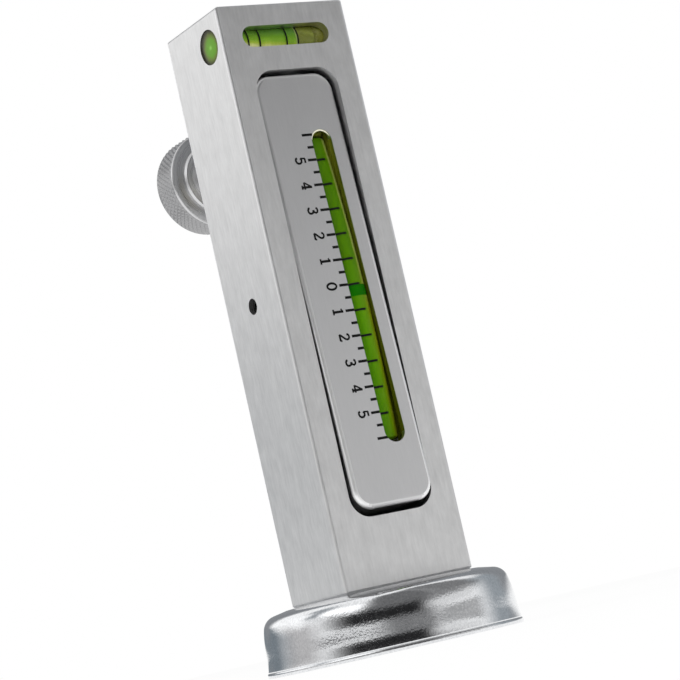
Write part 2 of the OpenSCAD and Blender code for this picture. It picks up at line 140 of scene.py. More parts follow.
def blendShaders(tree, share, first, second):
    node = addNode(tree, "ShaderNodeMixShader")
    feed(tree, node.inputs, (share, first, second))
    return node.outputs[0]


def coordinates(tree, kind="Object"):
    return addNode(tree, "ShaderNodeTexCoord").outputs[kind]


def splitVector(tree, vector):
    node = addNode(tree, "ShaderNodeSeparateXYZ")
    tree.links.new(vector, node.inputs["Vector"])
    return node.outputs


def stretchedNoise(tree, stretch, detail=4.0, roughness=0.6):
    # noise with its own number of waves a metre along each axis
    mapping = addNode(tree, "ShaderNodeMapping")
    mapping.inputs["Scale"].default_value = stretch
    noise = addNode(tree, "ShaderNodeTexNoise")
    setInputs(noise, {"Scale": 1.0, "Detail": detail, "Roughness": roughness})
    tree.links.new(coordinates(tree), mapping.inputs["Vector"])
    tree.links.new(mapping.outputs["Vector"], noise.inputs["Vector"])
    return noise.outputs["Fac"]


def ramp(tree, fac, stops):
    node = addNode(tree, "ShaderNodeValToRGB")
    band = node.color_ramp
    while len(band.elements) < len(stops):
        band.elements.new(0.5)
    for element, (place, colour) in zip(band.elements, stops):
        element.position = place
        element.color = (*colour, 1)
    tree.links.new(fac, node.inputs["Fac"])
    return node.outputs["Color"]


def spread(tree, fac, low, high, start=0.3, end=0.7):
    node = addNode(tree, "ShaderNodeMapRange")
    setInputs(node, {"From Min": start, "From Max": end, "To Min": low, "To Max": high})
    tree.links.new(fac, node.inputs["Value"])
    return node.outputs["Result"]


def cover(tree, shader, colour, pattern, rough, relief=None):
    # the pattern sets the roughness and the relief, which is its strength and its depth in metres
    tree.links.new(colour, shader.inputs["Base Color"])
    tree.links.new(spread(tree, pattern, *rough), shader.inputs["Roughness"])
    if relief:
        node = addNode(tree, "ShaderNodeBump")
        setInputs(node, {"Strength": relief[0], "Distance": relief[1]})
        tree.links.new(pattern, node.inputs["Height"])
        tree.links.new(node.outputs["Normal"], shader.inputs["Normal"])


def slopeFactor(tree, slope):
    # slope is (start, x, y, z) and stands for start + x * X + y * Y + z * Z
    run = vectorNode(tree, "DOT_PRODUCT", coordinates(tree), slope[1:], output="Value")
    return mathNode(tree, "ADD", run, slope[0])


def byFacing(tree, upPart, sidePart):
    # upPart shows on faces that look up or down, sidePart on the rest
    height = mathNode(tree, "ABSOLUTE", splitVector(tree, coordinates(tree, "Normal"))["Z"])
    return blend(tree, mathNode(tree, "GREATER_THAN", height, 0.8), sidePart, upPart)


def paintedEdgeHighlight(tree, slope):
    # a painted highlight on upright edges: none on the flat sides, elsewhere as much as slope says
    normal = splitVector(tree, coordinates(tree, "Normal"))
    least = mathNode(tree, "MINIMUM", *(mathNode(tree, "ABSOLUTE", normal[axis]) for axis in "XY"))
    onEdges = spread(tree, least, 0.0, 1.0, 0.05, 0.16)
    return mathNode(tree, "MULTIPLY", onEdges, slopeFactor(tree, slope), clamp=True)


def brushedMetal(name, dark, light, rough, lines, edge, highlightSlope, clouds=(140, 140, 60), cloudShare=0.4,
                 depth=0.00001):
    # short brushing lines over a faint cloud, as brushed bar stock has; edge is the colour of the painted
    # highlight on upright edges
    material, tree, shader = newMaterial(name, {"Metallic": 1.0})
    brushing = byFacing(tree, stretchedNoise(tree, (90, 2200, 2200)), stretchedNoise(tree, lines))
    streaks = blend(tree, cloudShare, brushing, stretchedNoise(tree, clouds, detail=3.0))
    colour = ramp(tree, streaks, [(0.3, dark), (0.7, light)])
    colour = blendColours(tree, paintedEdgeHighlight(tree, highlightSlope), colour, (*edge, 1))
    cover(tree, shader, colour, streaks, rough, (0.2, depth))
    return material


def turnedMetal(name, dark, light, rough, axisPoint):
    # fine rings round an axis along Y
    material, tree, shader = newMaterial(name, {"Metallic": 1.0})
    shift = vectorNode(tree, "SUBTRACT", coordinates(tree), axisPoint)
    away = vectorNode(tree, "LENGTH", vectorNode(tree, "MULTIPLY", shift, (1, 0, 1)), output="Value")
    join = addNode(tree, "ShaderNodeCombineXYZ")
    noise = addNode(tree, "ShaderNodeTexNoise")
    setInputs(noise, {"Scale": 2400, "Detail": 3.0})
    feed(tree, join.inputs, (away, splitVector(tree, shift)["Y"]))
    tree.links.new(join.outputs[0], noise.inputs["Vector"])
    rings = noise.outputs["Fac"]
    cover(tree, shader, ramp(tree, rings, [(0.35, dark), (0.65, light)]), rings, rough, (0.2, 0.00001))
    return material


def platedSteel(name, dark, light, rough, grain=900, relief=(0.35, 0.00003), broadShare=0.5, detail=6.0):
    material, tree, shader = newMaterial(name, {"Metallic": 1.0})
    fine = stretchedNoise(tree, (grain, grain, grain), detail=detail, roughness=0.7)
    broad = stretchedNoise(tree, (grain / 14, grain / 14, grain / 5), detail=3.0)
    grains = blend(tree, broadShare, fine, broad)
    cover(tree, shader, ramp(tree, grains, [(0.35, dark), (0.65, light)]), grains, rough, relief)
    return material


def dullSurface(name, dark, light, rough, grain=1500, metallic=0.0, strength=0.3, gloss=0.5):
    material, tree, shader = newMaterial(name, {"Metallic": metallic, "Specular IOR Level": gloss})
    noise = stretchedNoise(tree, (grain, grain, grain), detail=5.0)
    cover(tree, shader, ramp(tree, noise, [(0.3, dark), (0.7, light)]), noise, rough, (strength, 0.00003))
    return material


def tintedShell(name, dark, light, alpha):
    # the vial's clear wall as a thin tint, so that light reaches the spirit
    material, tree, shader = newMaterial(name, {"Alpha": alpha, "IOR": 1.49, "Specular IOR Level": 0.08})
    noise = stretchedNoise(tree, (160, 160, 160), detail=2.0)
    cover(tree, shader, ramp(tree, noise, [(0.3, dark), (0.7, light)]), noise, (0.03, 0.09))
    return material


def spiritColour(name, slope, stops, waves, cloudShare, coat=0.1):
    # dyed spirit, or resin that looks like it, whose colours run through the stops as slope says; for the
    # short vial's spirit and the bedding these colours are painted light and shade
    material, tree, shader = newMaterial(name, {"IOR": 1.36, "Specular IOR Level": 0.15,
                                                "Coat Weight": coat, "Coat Roughness": 0.04})
    cloud = stretchedNoise(tree, waves, detail=2.0)
    run = blend(tree, cloudShare, slopeFactor(tree, slope), cloud)
    cover(tree, shader, ramp(tree, run, stops), cloud, (0.12, 0.3))
    return material


def twoEndSpirit(name, slope, upperStops, lowerStops, change):
    # spirit whose run of colours differs between the vial's upper and lower halves
    material, tree, shader = newMaterial(name, {"IOR": 1.36, "Specular IOR Level": 0.15})
    cloud = stretchedNoise(tree, (90, 90, 200), detail=2.0)
    run = blend(tree, 0.06, slopeFactor(tree, slope), cloud)
    lower, upper = ramp(tree, run, lowerStops), ramp(tree, run, upperStops)
    colour = blendColours(tree, slopeFactor(tree, change), lower, upper)
    cover(tree, shader, colour, cloud, (0.12, 0.3))
    return material


def roundEnd(name, centre, radius, stops):
    # the vial's end in its window, with colours that run from its middle out to its rim
    material, tree, shader = newMaterial(name, {"Specular IOR Level": 0.1})
    away = vectorNode(tree, "LENGTH", vectorNode(tree, "SUBTRACT", coordinates(tree), centre), output="Value")
    cloud = stretchedNoise(tree, (900, 700, 700), detail=3.0)
    run = blend(tree, 0.16, spread(tree, away, 0.0, 1.0, 0.0, radius), cloud)
    cover(tree, shader, ramp(tree, run, stops), cloud, (0.1, 0.25))
    return material


knobAxis = (0, 0, 0.133)      # a point of the line along Y round which the knob and its screw turn

# the upright edges get a painted highlight, brighter towards the bar's top and towards the rocker's bottom
barMetal = brushedMetal("barBrushedAluminium", (0.65, 0.65, 0.65), (0.815, 0.815, 0.815), (0.34, 0.40),
                        (1500, 1500, 210), (0.97, 0.97, 0.975), (-0.35, 0, 0, 11),
                        clouds=(320, 320, 170), cloudShare=0.5)
rockerMetal = brushedMetal("rockerSatinAluminium", (0.68, 0.68, 0.685), (0.73, 0.73, 0.735), (0.34, 0.40),
                           (2600, 2600, 200), (0.99, 0.99, 0.99), (4.2, 0, 0, -33), depth=0.000006)
knobMetal = turnedMetal("knobTurnedMetal", (0.67, 0.67, 0.675), (0.78, 0.78, 0.785), (0.26, 0.38), knobAxis)
# the knurl is the head's metal made darker: painted shade of the knurl
knurlMetal = turnedMetal("knobKnurledMetal", (0.36, 0.36, 0.365), (0.44, 0.44, 0.445), (0.30, 0.42), knobAxis)
screwSteel = platedSteel("zincPlatedSteel", (0.50, 0.49, 0.46), (0.66, 0.65, 0.62), (0.25, 0.4))
cupMetal = platedSteel("cupPlatedSteel", (0.72, 0.73, 0.745), (0.88, 0.89, 0.905), (0.06, 0.12),
                       grain=2000, relief=(1.0, 0.000019), broadShare=0.3, detail=0.8)
blackSteel = dullSurface("blackOxideSteel", (0.006, 0.006, 0.006), (0.016, 0.016, 0.016), (0.3, 0.5),
                         metallic=1.0, gloss=0.2)
brassMetal = platedSteel("turnedBrass", (0.38, 0.34, 0.25), (0.48, 0.43, 0.32), (0.22, 0.36), grain=1600)
ferriteStone = dullSurface("groundFerrite", (0.035, 0.035, 0.037), (0.07, 0.07, 0.072), (0.5, 0.7),
                           grain=2500)
castResin = dullSurface("castResin", (0.45, 0.40, 0.20), (0.55, 0.50, 0.28), (0.35, 0.5))
plugPlastic = dullSurface("plugPlastic", (0.15, 0.16, 0.02), (0.25, 0.26, 0.04), (0.2, 0.4), grain=600)
vialPlastic = tintedShell("vialClearPlastic", (0.12, 0.16, 0.01), (0.20, 0.24, 0.02), 0.04)
# the spirit's colours run across it: darker at its left edge, then green, then a lighter yellow-olive band
# along its right side, a painted highlight of light through the tube's wall
longSpirit = twoEndSpirit(
    "longVialSpirit", (-0.114, 142.9, 0, 0),
    [(0.0, (0.032, 0.10, 0.001)), (0.30, (0.062, 0.18, 0.0005)), (0.62, (0.064, 0.185, 0.0005)),
     (0.69, (0.090, 0.21, 0.002)), (0.745, (0.34, 0.44, 0.09)), (0.92, (0.36, 0.44, 0.10))],
    [(0.0, (0.050, 0.19, 0.0005)), (0.35, (0.070, 0.235, 0.0005)), (0.62, (0.11, 0.25, 0.001)),
     (0.74, (0.19, 0.27, 0.006)), (0.84, (0.22, 0.25, 0.007)), (0.95, (0.26, 0.28, 0.008))],
    (-5.6, 0, 0, 66.7))
# the short spirit is near white and lime low down and dark green at the top, a painted glow of light gathered
# in the vial's lower side with painted shade above; it is also a little darker towards its right
shortSpirit = spiritColour("shortVialSpirit", (-19.3, 14, 0, 128),
                           [(0.40, (1.0, 1.0, 0.66)), (0.46, (0.92, 0.95, 0.40)),
                            (0.53, (0.46, 0.60, 0.06)), (0.60, (0.23, 0.44, 0.03)),
                            (0.73, (0.14, 0.32, 0.02)), (0.86, (0.11, 0.28, 0.035))],
                           (260, 120, 90), 0.22)
airKhaki = spiritColour("shortVialAir", (-19.5, 24, 0, 125),
                        [(0.15, (0.24, 0.27, 0.06)), (0.31, (0.17, 0.19, 0.04)), (0.40, (0.27, 0.31, 0.06)),
                         (0.55, (0.19, 0.21, 0.03)), (0.85, (0.14, 0.15, 0.03))], (500, 200, 260), 0.35)
# the vial's end darkens outwards to near black at its rim: painted shade
windowEnd = roundEnd("shortVialEndColour", (-0.0186, -0.0073, 0.1562), 0.0044,
                     [(0.12, (0.20, 0.44, 0.07)), (0.22, (0.11, 0.27, 0.025)), (0.50, (0.10, 0.25, 0.02)),
                      (0.64, (0.11, 0.16, 0.03)), (0.76, (0.07, 0.085, 0.025)), (0.88, (0.03, 0.03, 0.015))])
bubbleGreen = dullSurface("bubbleSkin", (0.002, 0.11, 0.001), (0.004, 0.15, 0.001), (0.1, 0.2),
                          grain=200, strength=0.05, gloss=0.02)
# a bright lime ring where the spirit meets the air: a painted highlight on the meniscus
meniscusLime = dullSurface("meniscusEdge", (0.42, 0.60, 0.16), (0.60, 0.75, 0.28), (0.1, 0.2),
                           grain=200, strength=0.05)
# the bedding is darkest at the front and where it climbs the slot's wall, as painted shade, and lighter back
# by the tube, as painted light through the clear wall
beddingResinPaintedLightAndShade = spiritColour("beddingResinPaintedLightAndShade", (4.72, 0, 400, 0),
                            [(0.0, (0.06, 0.07, 0.003)), (0.25, (0.09, 0.10, 0.006)),
                             (0.55, (0.18, 0.20, 0.014)), (1.0, (0.26, 0.28, 0.02))],
                            (200, 200, 90), 0.12, coat=0.0)
# cream of the painted highlight along the slot's upper edge
slotHighlightCream = dullSurface("slotHighlightCream", (0.84, 0.82, 0.62), (0.95, 0.93, 0.74), (0.2, 0.35),
                        grain=700, strength=0.1)
blackInk = dullSurface("blackInk", (0.004, 0.004, 0.004), (0.010, 0.010, 0.010), (0.6, 0.8),
                       grain=4000, gloss=0.1)
print("materials made")


# What the solids of the CAD model are made of
nodeFinishes = {
    "body_bar": barMetal,
    "rocker": rockerMetal,
    "rocker_cap": rockerMetal,
    "pivot_screw_left": blackSteel,
    "pivot_screw_right": blackSteel,
    "camber_vial_tube": vialPlastic,
    "camber_vial_liquid": longSpirit,
    "camber_vial_plug": plugPlastic,
    "level_vial_tube": vialPlastic,
    "level_vial_liquid": shortSpirit,
    "level_vial_plug": plugPlastic,
    "adjuster_knob": knobMetal,
    "adjuster_stud": screwSteel,
    "adjuster_bush": brassMetal,
    "thrust_pad": brassMetal,
    "rocker_spring": screwSteel,
    "magnet_cup": cupMetal,
    "magnet_disc": ferriteStone,
    "backing_plate": screwSteel,
    "spacer_ring": castResin,
    "magnet_stem": screwSteel,
}
for nodeName, finish in nodeFinishes.items():
    nodes[nodeName].data.materials.clear()
    nodes[nodeName].data.materials.append(finish)
print("CAD pieces finished")


meshLimits = {
    "sameSpot": 0.000001,    # metres; points nearer than this become one
    "sharpFrom": 35,         # degrees between two faces
}


def pieceFrom(name, shape, material, body, place=None, smooth=False, capEnds=False):
    # shape is (points, faces), and place moves the points from the piece's own frame into the gauge's
    points, faces = shape
    if place is not None:
        points = [place @ Vector(p) for p in points]
    mesh = bpy.data.meshes.new(name)
    mesh.from_pydata([tuple(p) for p in points], [], faces)
    build = bmesh.new()
    build.from_mesh(mesh)
    bmesh.ops.remove_doubles(build, verts=build.verts, dist=meshLimits["sameSpot"])
    bmesh.ops.dissolve_degenerate(build, edges=build.edges, dist=meshLimits["sameSpot"])
    if capEnds:
        bmesh.ops.holes_fill(build, edges=[e for e in build.edges if e.is_boundary], sides=0)
    bmesh.ops.recalc_face_normals(build, faces=build.faces)
    build.to_mesh(mesh)
    build.free()
    mesh.materials.append(material)
    for face in mesh.polygons:
        face.use_smooth = smooth
    piece = bpy.data.objects.new(name, mesh)
    bpy.context.scene.collection.objects.link(piece)
    if smooth:
        mesh.set_sharp_from_angle(angle=math.radians(meshLimits["sharpFrom"]))
    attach(piece, body)
    return piece


def turned(outline, steps, axis="Z", centre=(0, 0, 0)):
    # points and faces of a closed outline, as (radius, along) in metres, turned round an axis
    points, faces = [], []
    count = len(outline)
    for i in range(steps):
        angle = 2 * math.pi * i / steps
        for radius, along in outline:
            side, front = radius * math.cos(angle), radius * math.sin(angle)
            spot = {"X": (along, side, front), "Y": (side, along, front), "Z": (side, front, along)}[axis]
            points.append(tuple(a + b for a, b in zip(spot, centre)))
    for i in range(steps):
        a, b = i * count, (i + 1) % steps * count
        for j in range(count):
            k = (j + 1) % count
            if outline[j][0] > 0 or outline[k][0] > 0:      # nothing is turned from a line on the axis
                faces.append((a + j, a + k, b + k, b + j))
    return points, faces


def squareBar(sections, closed=False):
    # a bar through sections of four corners each; a closed one runs back into its start
    points = [corner for section in sections for corner in section]
    last = len(points) - 4
    faces = [] if closed else [(0, 1, 2, 3), (last, last + 1, last + 2, last + 3)]
    for a in range(0, last, 4):
        faces += [(a + j, a + (j + 1) % 4, a + 4 + (j + 1) % 4, a + 4 + j) for j in range(4)]
    return points, faces


def joined(*parts):
    points, faces = [], []
    for partPoints, partFaces in parts:
        start = len(points)
        points += partPoints
        faces += [tuple(start + i for i in face) for face in partFaces]
    return points, faces


def gridFaces(columns, rows):
    row = columns + 1
    return [(a, a + 1, a + row + 1, a + row) for j in range(rows) for a in range(j * row, j * row + columns)]


def arcPoints(centre, radius, start, end, steps):
    angles = [math.radians(start + (end - start) * i / steps) for i in range(steps + 1)]
    return [(centre[0] + radius * math.cos(angle), centre[1] + radius * math.sin(angle)) for angle in angles]


# The rocker's own frame stands straight up and then leans at its pivot
rockerFrame = {"pivot": Vector((0, 0, 0.0909)), "lean": 2.1, "faceY": -0.0137}
rockerLean = Matrix.Rotation(math.radians(-rockerFrame["lean"]), 4, "X")
onRocker = Matrix.Translation(rockerFrame["pivot"]) @ rockerLean @ Matrix.Translation(-rockerFrame["pivot"])

# Scale printed on the rocker's face
scalePrint = {
    "zeroZ": 0.09045,
    "unit": 0.006577,
    "reach": 6,
    "tickRight": 0.00132,
    "endRight": 0.00182,   # the two end ticks reach the slot where it rounds off
    "longLeft": -0.0012,
    "shortLeft": -0.00042,
    "tickHeight": 0.00068,
    "inkDepth": 0.00003,
    "inkRoot": 0.00001,    # how far the ink goes below the face
}


def addScaleTicks(s):
    back, front = rockerFrame["faceY"] + s["inkRoot"], rockerFrame["faceY"] - s["inkDepth"]
    ticks = []
    for half in range(-2 * s["reach"], 2 * s["reach"] + 1):
        z = s["zeroZ"] + half * s["unit"] / 2
        left = s["shortLeft"] if half % 2 else s["longLeft"]
        right = s["endRight"] if abs(half) == 2 * s["reach"] else s["tickRight"]
        low, high = z - s["tickHeight"] / 2, z + s["tickHeight"] / 2
        ticks.append(squareBar([((left, y, low), (right, y, low), (right, y, high), (left, y, high))
                                for y in (front, back)]))
    return pieceFrom("scaleTicks", joined(*ticks), blackInk, "rocker", onRocker)


addScaleTicks(scalePrint)

# Numerals, each a set of pen strokes in a cell one high; a stroke is (pen width, points)
numeralStrokes = {
    "0": [(0.15, [(0.31 + 0.245 * math.sin(a * math.pi / 12), 0.5 + 0.43 * math.cos(a * math.pi / 12))
                  for a in range(25)])],
    "1": [(0.17, [(0.32, 0.0), (0.32, 0.98)]), (0.11, [(0.32, 0.94), (0.22, 0.84), (0.10, 0.80)]),
          (0.13, [(0.10, 0.06), (0.54, 0.06)])],
    "2": [(0.14, [(0.10, 0.74), (0.12, 0.86), (0.22, 0.93), (0.34, 0.93), (0.46, 0.86), (0.50, 0.73),
                  (0.46, 0.58), (0.32, 0.40), (0.16, 0.22), (0.08, 0.07)]),
          (0.16, [(0.07, 0.08), (0.54, 0.08), (0.56, 0.22)])],
    "3": [(0.14, [(0.09, 0.80), (0.16, 0.90), (0.30, 0.93), (0.43, 0.88), (0.49, 0.76), (0.43, 0.61),
                  (0.26, 0.54)]),
          (0.15, [(0.26, 0.54), (0.45, 0.48), (0.52, 0.32), (0.49, 0.16), (0.38, 0.07), (0.22, 0.06),
                  (0.10, 0.13), (0.08, 0.24)])],
    "4": [(0.16, [(0.42, 0.0), (0.42, 0.97)]), (0.11, [(0.42, 0.94), (0.05, 0.31)]),
          (0.13, [(0.02, 0.29), (0.60, 0.29)]), (0.12, [(0.26, 0.055), (0.58, 0.055)])],
    "5": [(0.14, [(0.14, 0.92), (0.50, 0.92)]), (0.11, [(0.15, 0.95), (0.12, 0.52)]),
          (0.15, [(0.11, 0.50), (0.24, 0.60), (0.40, 0.57), (0.51, 0.44), (0.52, 0.27), (0.43, 0.12),
                  (0.28, 0.06), (0.14, 0.09), (0.07, 0.21)])],
}
numerals = {
    "order": "54321012345",
    "top": -0.00185,       # the side of the figures that faces the ticks
    "height": 0.0031,
    "width": 0.0033,       # breadth of a cell one wide
    "middle": 0.31,
    "penShare": 1.15,
    "strokeStep": 0.000004,    # each stroke stands this much higher than the last, so that none share a face
}


def stroke(path, pen, toFace, front, back):
    # a flat ribbon of even width along a path, with square ends
    path = [Vector(p) for p in path]
    closed = (path[0] - path[-1]).length < meshLimits["sameSpot"]
    sections = []
    for i, point in enumerate(path):
        before = path[i - 1] if i > 0 else path[-2 if closed else 0]
        after = path[i + 1] if i < len(path) - 1 else path[1 if closed else -1]
        run = (after - before).normalized()
        side = Vector((-run.y, run.x)) * pen / 2
        (x0, z0), (x1, z1) = toFace(point + side), toFace(point - side)
        sections.append(((x0, front, z0), (x0, back, z0), (x1, back, z1), (x1, front, z1)))
    return squareBar(sections, closed)


def addNumerals(n, s):
    back = rockerFrame["faceY"] + s["inkRoot"]
    for i, figure in enumerate(n["order"]):
        middleZ = s["zeroZ"] + (len(n["order"]) // 2 - i) * s["unit"]

        def toFace(p):
            return n["top"] - (1 - p[1]) * n["height"], middleZ - (p[0] - n["middle"]) * n["width"]

        strokes = []
        for k, (pen, path) in enumerate(numeralStrokes[figure]):
            front = rockerFrame["faceY"] - s["inkDepth"] - k * n["strokeStep"]
            strokes.append(stroke(path, pen * n["penShare"], toFace, front, back))
        name = "numeral_%02d_%s" % (i, figure)
        pieceFrom(name, joined(*strokes), blackInk, "rocker", onRocker)


addNumerals(numerals, scalePrint)
print("scale printed")

# The long vial is bent evenly, its middle towards the front. The spirit looks as wide as its tube.
longVial = {
    "axisX": 0.0043,
    "axisY": -0.00984,
    "middleZ": 0.0903,
    "bendRadius": 0.377,
    "tubeRadius": 0.0037,
    "spiritRadius": 0.00362,
    "spiritHalf": 0.0397,
    "spiritDome": [(0.0, 0.55), (0.0004, 0.85), (0.0010, 1.0)],    # (way in from the end, radius share)
    "bubbleTop": 0.09045,
    "bubbleLength": 0.0032,
    "bubbleSkin": 0.00003,
    "bubbleEdge": 0.0002,
    "bubbleEndShare": 0.9,
    "plugRadius": 0.0036,
    "plugGap": 0.00005,
    "plugTop": 0.1326,
    "plugEdge": 0.0004,
    "lines": 5,            # to each side of the one at zero
    "lineFrom": 0.00142,
    "lineTo": 0.0049,
    "lineHeight": 0.00055,
    "lineDepth": 0.00004,
    "lineRoot": 0.00002,
}


def onBend(v, z, side, out):
    # a point of the bent tube at height z: side is its x from the axis, out its distance towards the front
    lift = z - v["middleZ"]
    depth = v["bendRadius"] - math.sqrt(v["bendRadius"] ** 2 - lift ** 2)
    lean = lift / v["bendRadius"]
    return v["axisX"] + side, v["axisY"] + depth - out, z + out * lean


def bentColumn(v, profile, around=48):
    # a column along the bend from (height, radius) pairs, closed at both ends by points on the axis
    points = [onBend(v, profile[0][0], 0, 0)]
    for z, radius in profile:
        for i in range(around):
            angle = 2 * math.pi * i / around
            points.append(onBend(v, z, radius * math.sin(angle), radius * math.cos(angle)))
    points.append(onBend(v, profile[-1][0], 0, 0))
    last = len(points) - 1
    faces = []
    for i in range(around):
        nextI = (i + 1) % around
        faces += [(0, 1 + nextI, 1 + i), (last, last - around + i, last - around + nextI)]
        for a in range(1, last - around, around):
            b = a + around
            faces.append((a + i, a + nextI, b + nextI, b + i))
    return points, faces


def addLongVial(v):
    def column(name, profile, material):
        return pieceFrom(name, bentColumn(v, profile), material, "rocker", onRocker, smooth=True)

    low, high, radius = v["middleZ"] - v["spiritHalf"], v["middleZ"] + v["spiritHalf"], v["spiritRadius"]
    depth, steps = v["spiritDome"][-1][0], 40
    profile = [(low + d, radius * share) for d, share in v["spiritDome"]]
    profile += [(low + depth + (high - low - 2 * depth) * i / steps, radius) for i in range(1, steps)]
    profile += [(high - d, radius * share) for d, share in reversed(v["spiritDome"])]
    spirit = column("longSpirit", profile, longSpirit)
    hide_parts("camber_vial_liquid")

    top, foot, edge = v["bubbleTop"], v["bubbleTop"] - v["bubbleLength"], v["bubbleEdge"]
    outer = radius + v["bubbleSkin"]
    endRadius = outer * v["bubbleEndShare"]
    profile = [(foot, endRadius), (foot + edge, outer), (top - edge, outer), (top, endRadius)]
    column("longBubble", profile, bubbleGreen)

    outer, foot, top, edge = v["plugRadius"], high + v["plugGap"], v["plugTop"], v["plugEdge"]
    profile = [(foot, outer - edge), (foot + 0.00025, outer), (top - edge, outer), (top, outer - edge)]
    plug = column("longPlug", profile, plugPlastic)
    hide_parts("camber_vial_plug")


# Resin fills the hole beside the tube, and is seen through the slot to the right of the spirit; its colour is
# painted light and shade, lighter back by the tube and dark at the front and on the slot's wall
vialBedding = {
    "from": 70,            # degrees round the tube from its front
    "low": 0.0472,
    "high": 0.1334,
    "edge": (0.00722, -0.0120),
    "climb": -0.0134,      # how far forward it climbs the slot's wall
    "sag": 0.0002,
    "thick": 0.00002,
}


def addBedding(v, b):
    steps, across, upWall = 40, 6, 3
    (edgeX, edgeY), angle = b["edge"], math.radians(b["from"])
    points = []
    for i in range(steps + 1):
        z = b["low"] + (b["high"] - b["low"]) * i / steps
        x, y = onBend(v, z, v["tubeRadius"] * math.sin(angle), v["tubeRadius"] * math.cos(angle))[:2]
        for j in range(across + 1):
            share = j / across
            sag = b["sag"] * math.sin(math.pi * share)
            points.append((x + (edgeX - x) * share + sag, y + (edgeY - y) * share, z))
        points += [(edgeX, edgeY + (b["climb"] - edgeY) * j / upWall, z) for j in range(1, upWall + 1)]
    row, count = across + upWall + 1, len(points)
    faces = gridFaces(across + upWall, steps)
    points += [(x + b["thick"], y + b["thick"], z) for x, y, z in points]
    faces += [tuple(count + k for k in reversed(face)) for face in faces]
    rim = list(range(row)) + [row * i - 1 for i in range(2, steps + 2)]
    rim += [row * steps + j for j in range(row - 2, -1, -1)] + [row * i for i in range(steps - 1, 0, -1)]
    for here, after in zip(rim, rim[1:] + rim[:1]):
        faces.append((here, after, count + after, count + here))
    return pieceFrom("vialBedding", (points, faces), beddingResinPaintedLightAndShade, "rocker", onRocker, smooth=True)


def addVialLines(v, s):
    # each line lies on the front of the tube, from the slot's left edge
    inner, outer = v["tubeRadius"] - v["lineRoot"], v["tubeRadius"] + v["lineDepth"]
    steps, rise, lines = 14, v["lineHeight"] / 2, []
    for line in range(-v["lines"], v["lines"] + 1):
        z = s["zeroZ"] + line * s["unit"]
        sections = []
        for i in range(steps + 1):
            side = v["lineFrom"] + (v["lineTo"] - v["lineFrom"]) * i / steps - v["axisX"]
            sections.append([onBend(v, z + lift, side, math.sqrt(radius ** 2 - side ** 2)) for radius, lift in
                             ((inner, -rise), (inner, rise), (outer, rise), (outer, -rise))])
        lines.append(squareBar(sections))
    return pieceFrom("longVialLines", joined(*lines), blackInk, "rocker", onRocker)


# A cream arc along the slot's upper end: a painted highlight on the slot's lit rounded edge
slotEdgeHighlight = {
    "centre": (0.0043, 0.1282),
    "radius": 0.00274,
    "from": 20,            # degrees from the right-hand side
    "to": 172,
    "thick": 0.00021,
    "faceY": -0.0135,
}


def addSlotEdgeHighlight(b):
    points, faces = [], []
    steps, around = 36, 8
    for i in range(steps + 1):
        share = i / steps
        angle = math.radians(b["from"] + (b["to"] - b["from"]) * share)
        thick = b["thick"] * max(math.sin(math.pi * share), 0.05) ** 0.5      # its ends run thin
        for j in range(around):
            turn = 2 * math.pi * j / around
            radius = b["radius"] + thick * math.cos(turn)
            points.append((b["centre"][0] + radius * math.cos(angle), b["faceY"] + thick * math.sin(turn),
                           b["centre"][1] + radius * math.sin(angle)))
    for i in range(steps):
        for j in range(around):
            a, c, k = i * around, (i + 1) * around, (j + 1) % around
            faces.append((a + j, a + k, c + k, c + j))
    shape = points, faces
    return pieceFrom("slotEdgeHighlight", shape, slotHighlightCream, "rocker", onRocker, smooth=True, capEnds=True)


addLongVial(longVial)
addBedding(longVial, vialBedding)
addSlotEdgeHighlight(slotEdgeHighlight)
addVialLines(longVial, scalePrint)
print("long vial filled")

# The short vial lies across the bar, with its closed end in the left side's window
shortVial = {
    "axis": (0, -0.0068, 0.1565),
    "tubeRadius": 0.0044,
    "spiritRadius": 0.0041,
    "endX": -0.0181,
    "endDome": 0.0011,
    "meniscusX": 0.0046,
    "skin": 0.00004,
    "plugX": 0.0101,
    "innerX": 0.0135,
    "endRadius": 0.00438,
    "endFlatX": -0.01842,
    "endCrown": 0.00022,
    "endThick": 0.00001,
    "ringMiddle": -0.0024,
    "ringNear": 0.00396,
    "ringFar": 0.0073,
    "ringWidth": 0.00042,
    "ringDepth": 0.00003,
    "ringRoot": 0.00002,
}


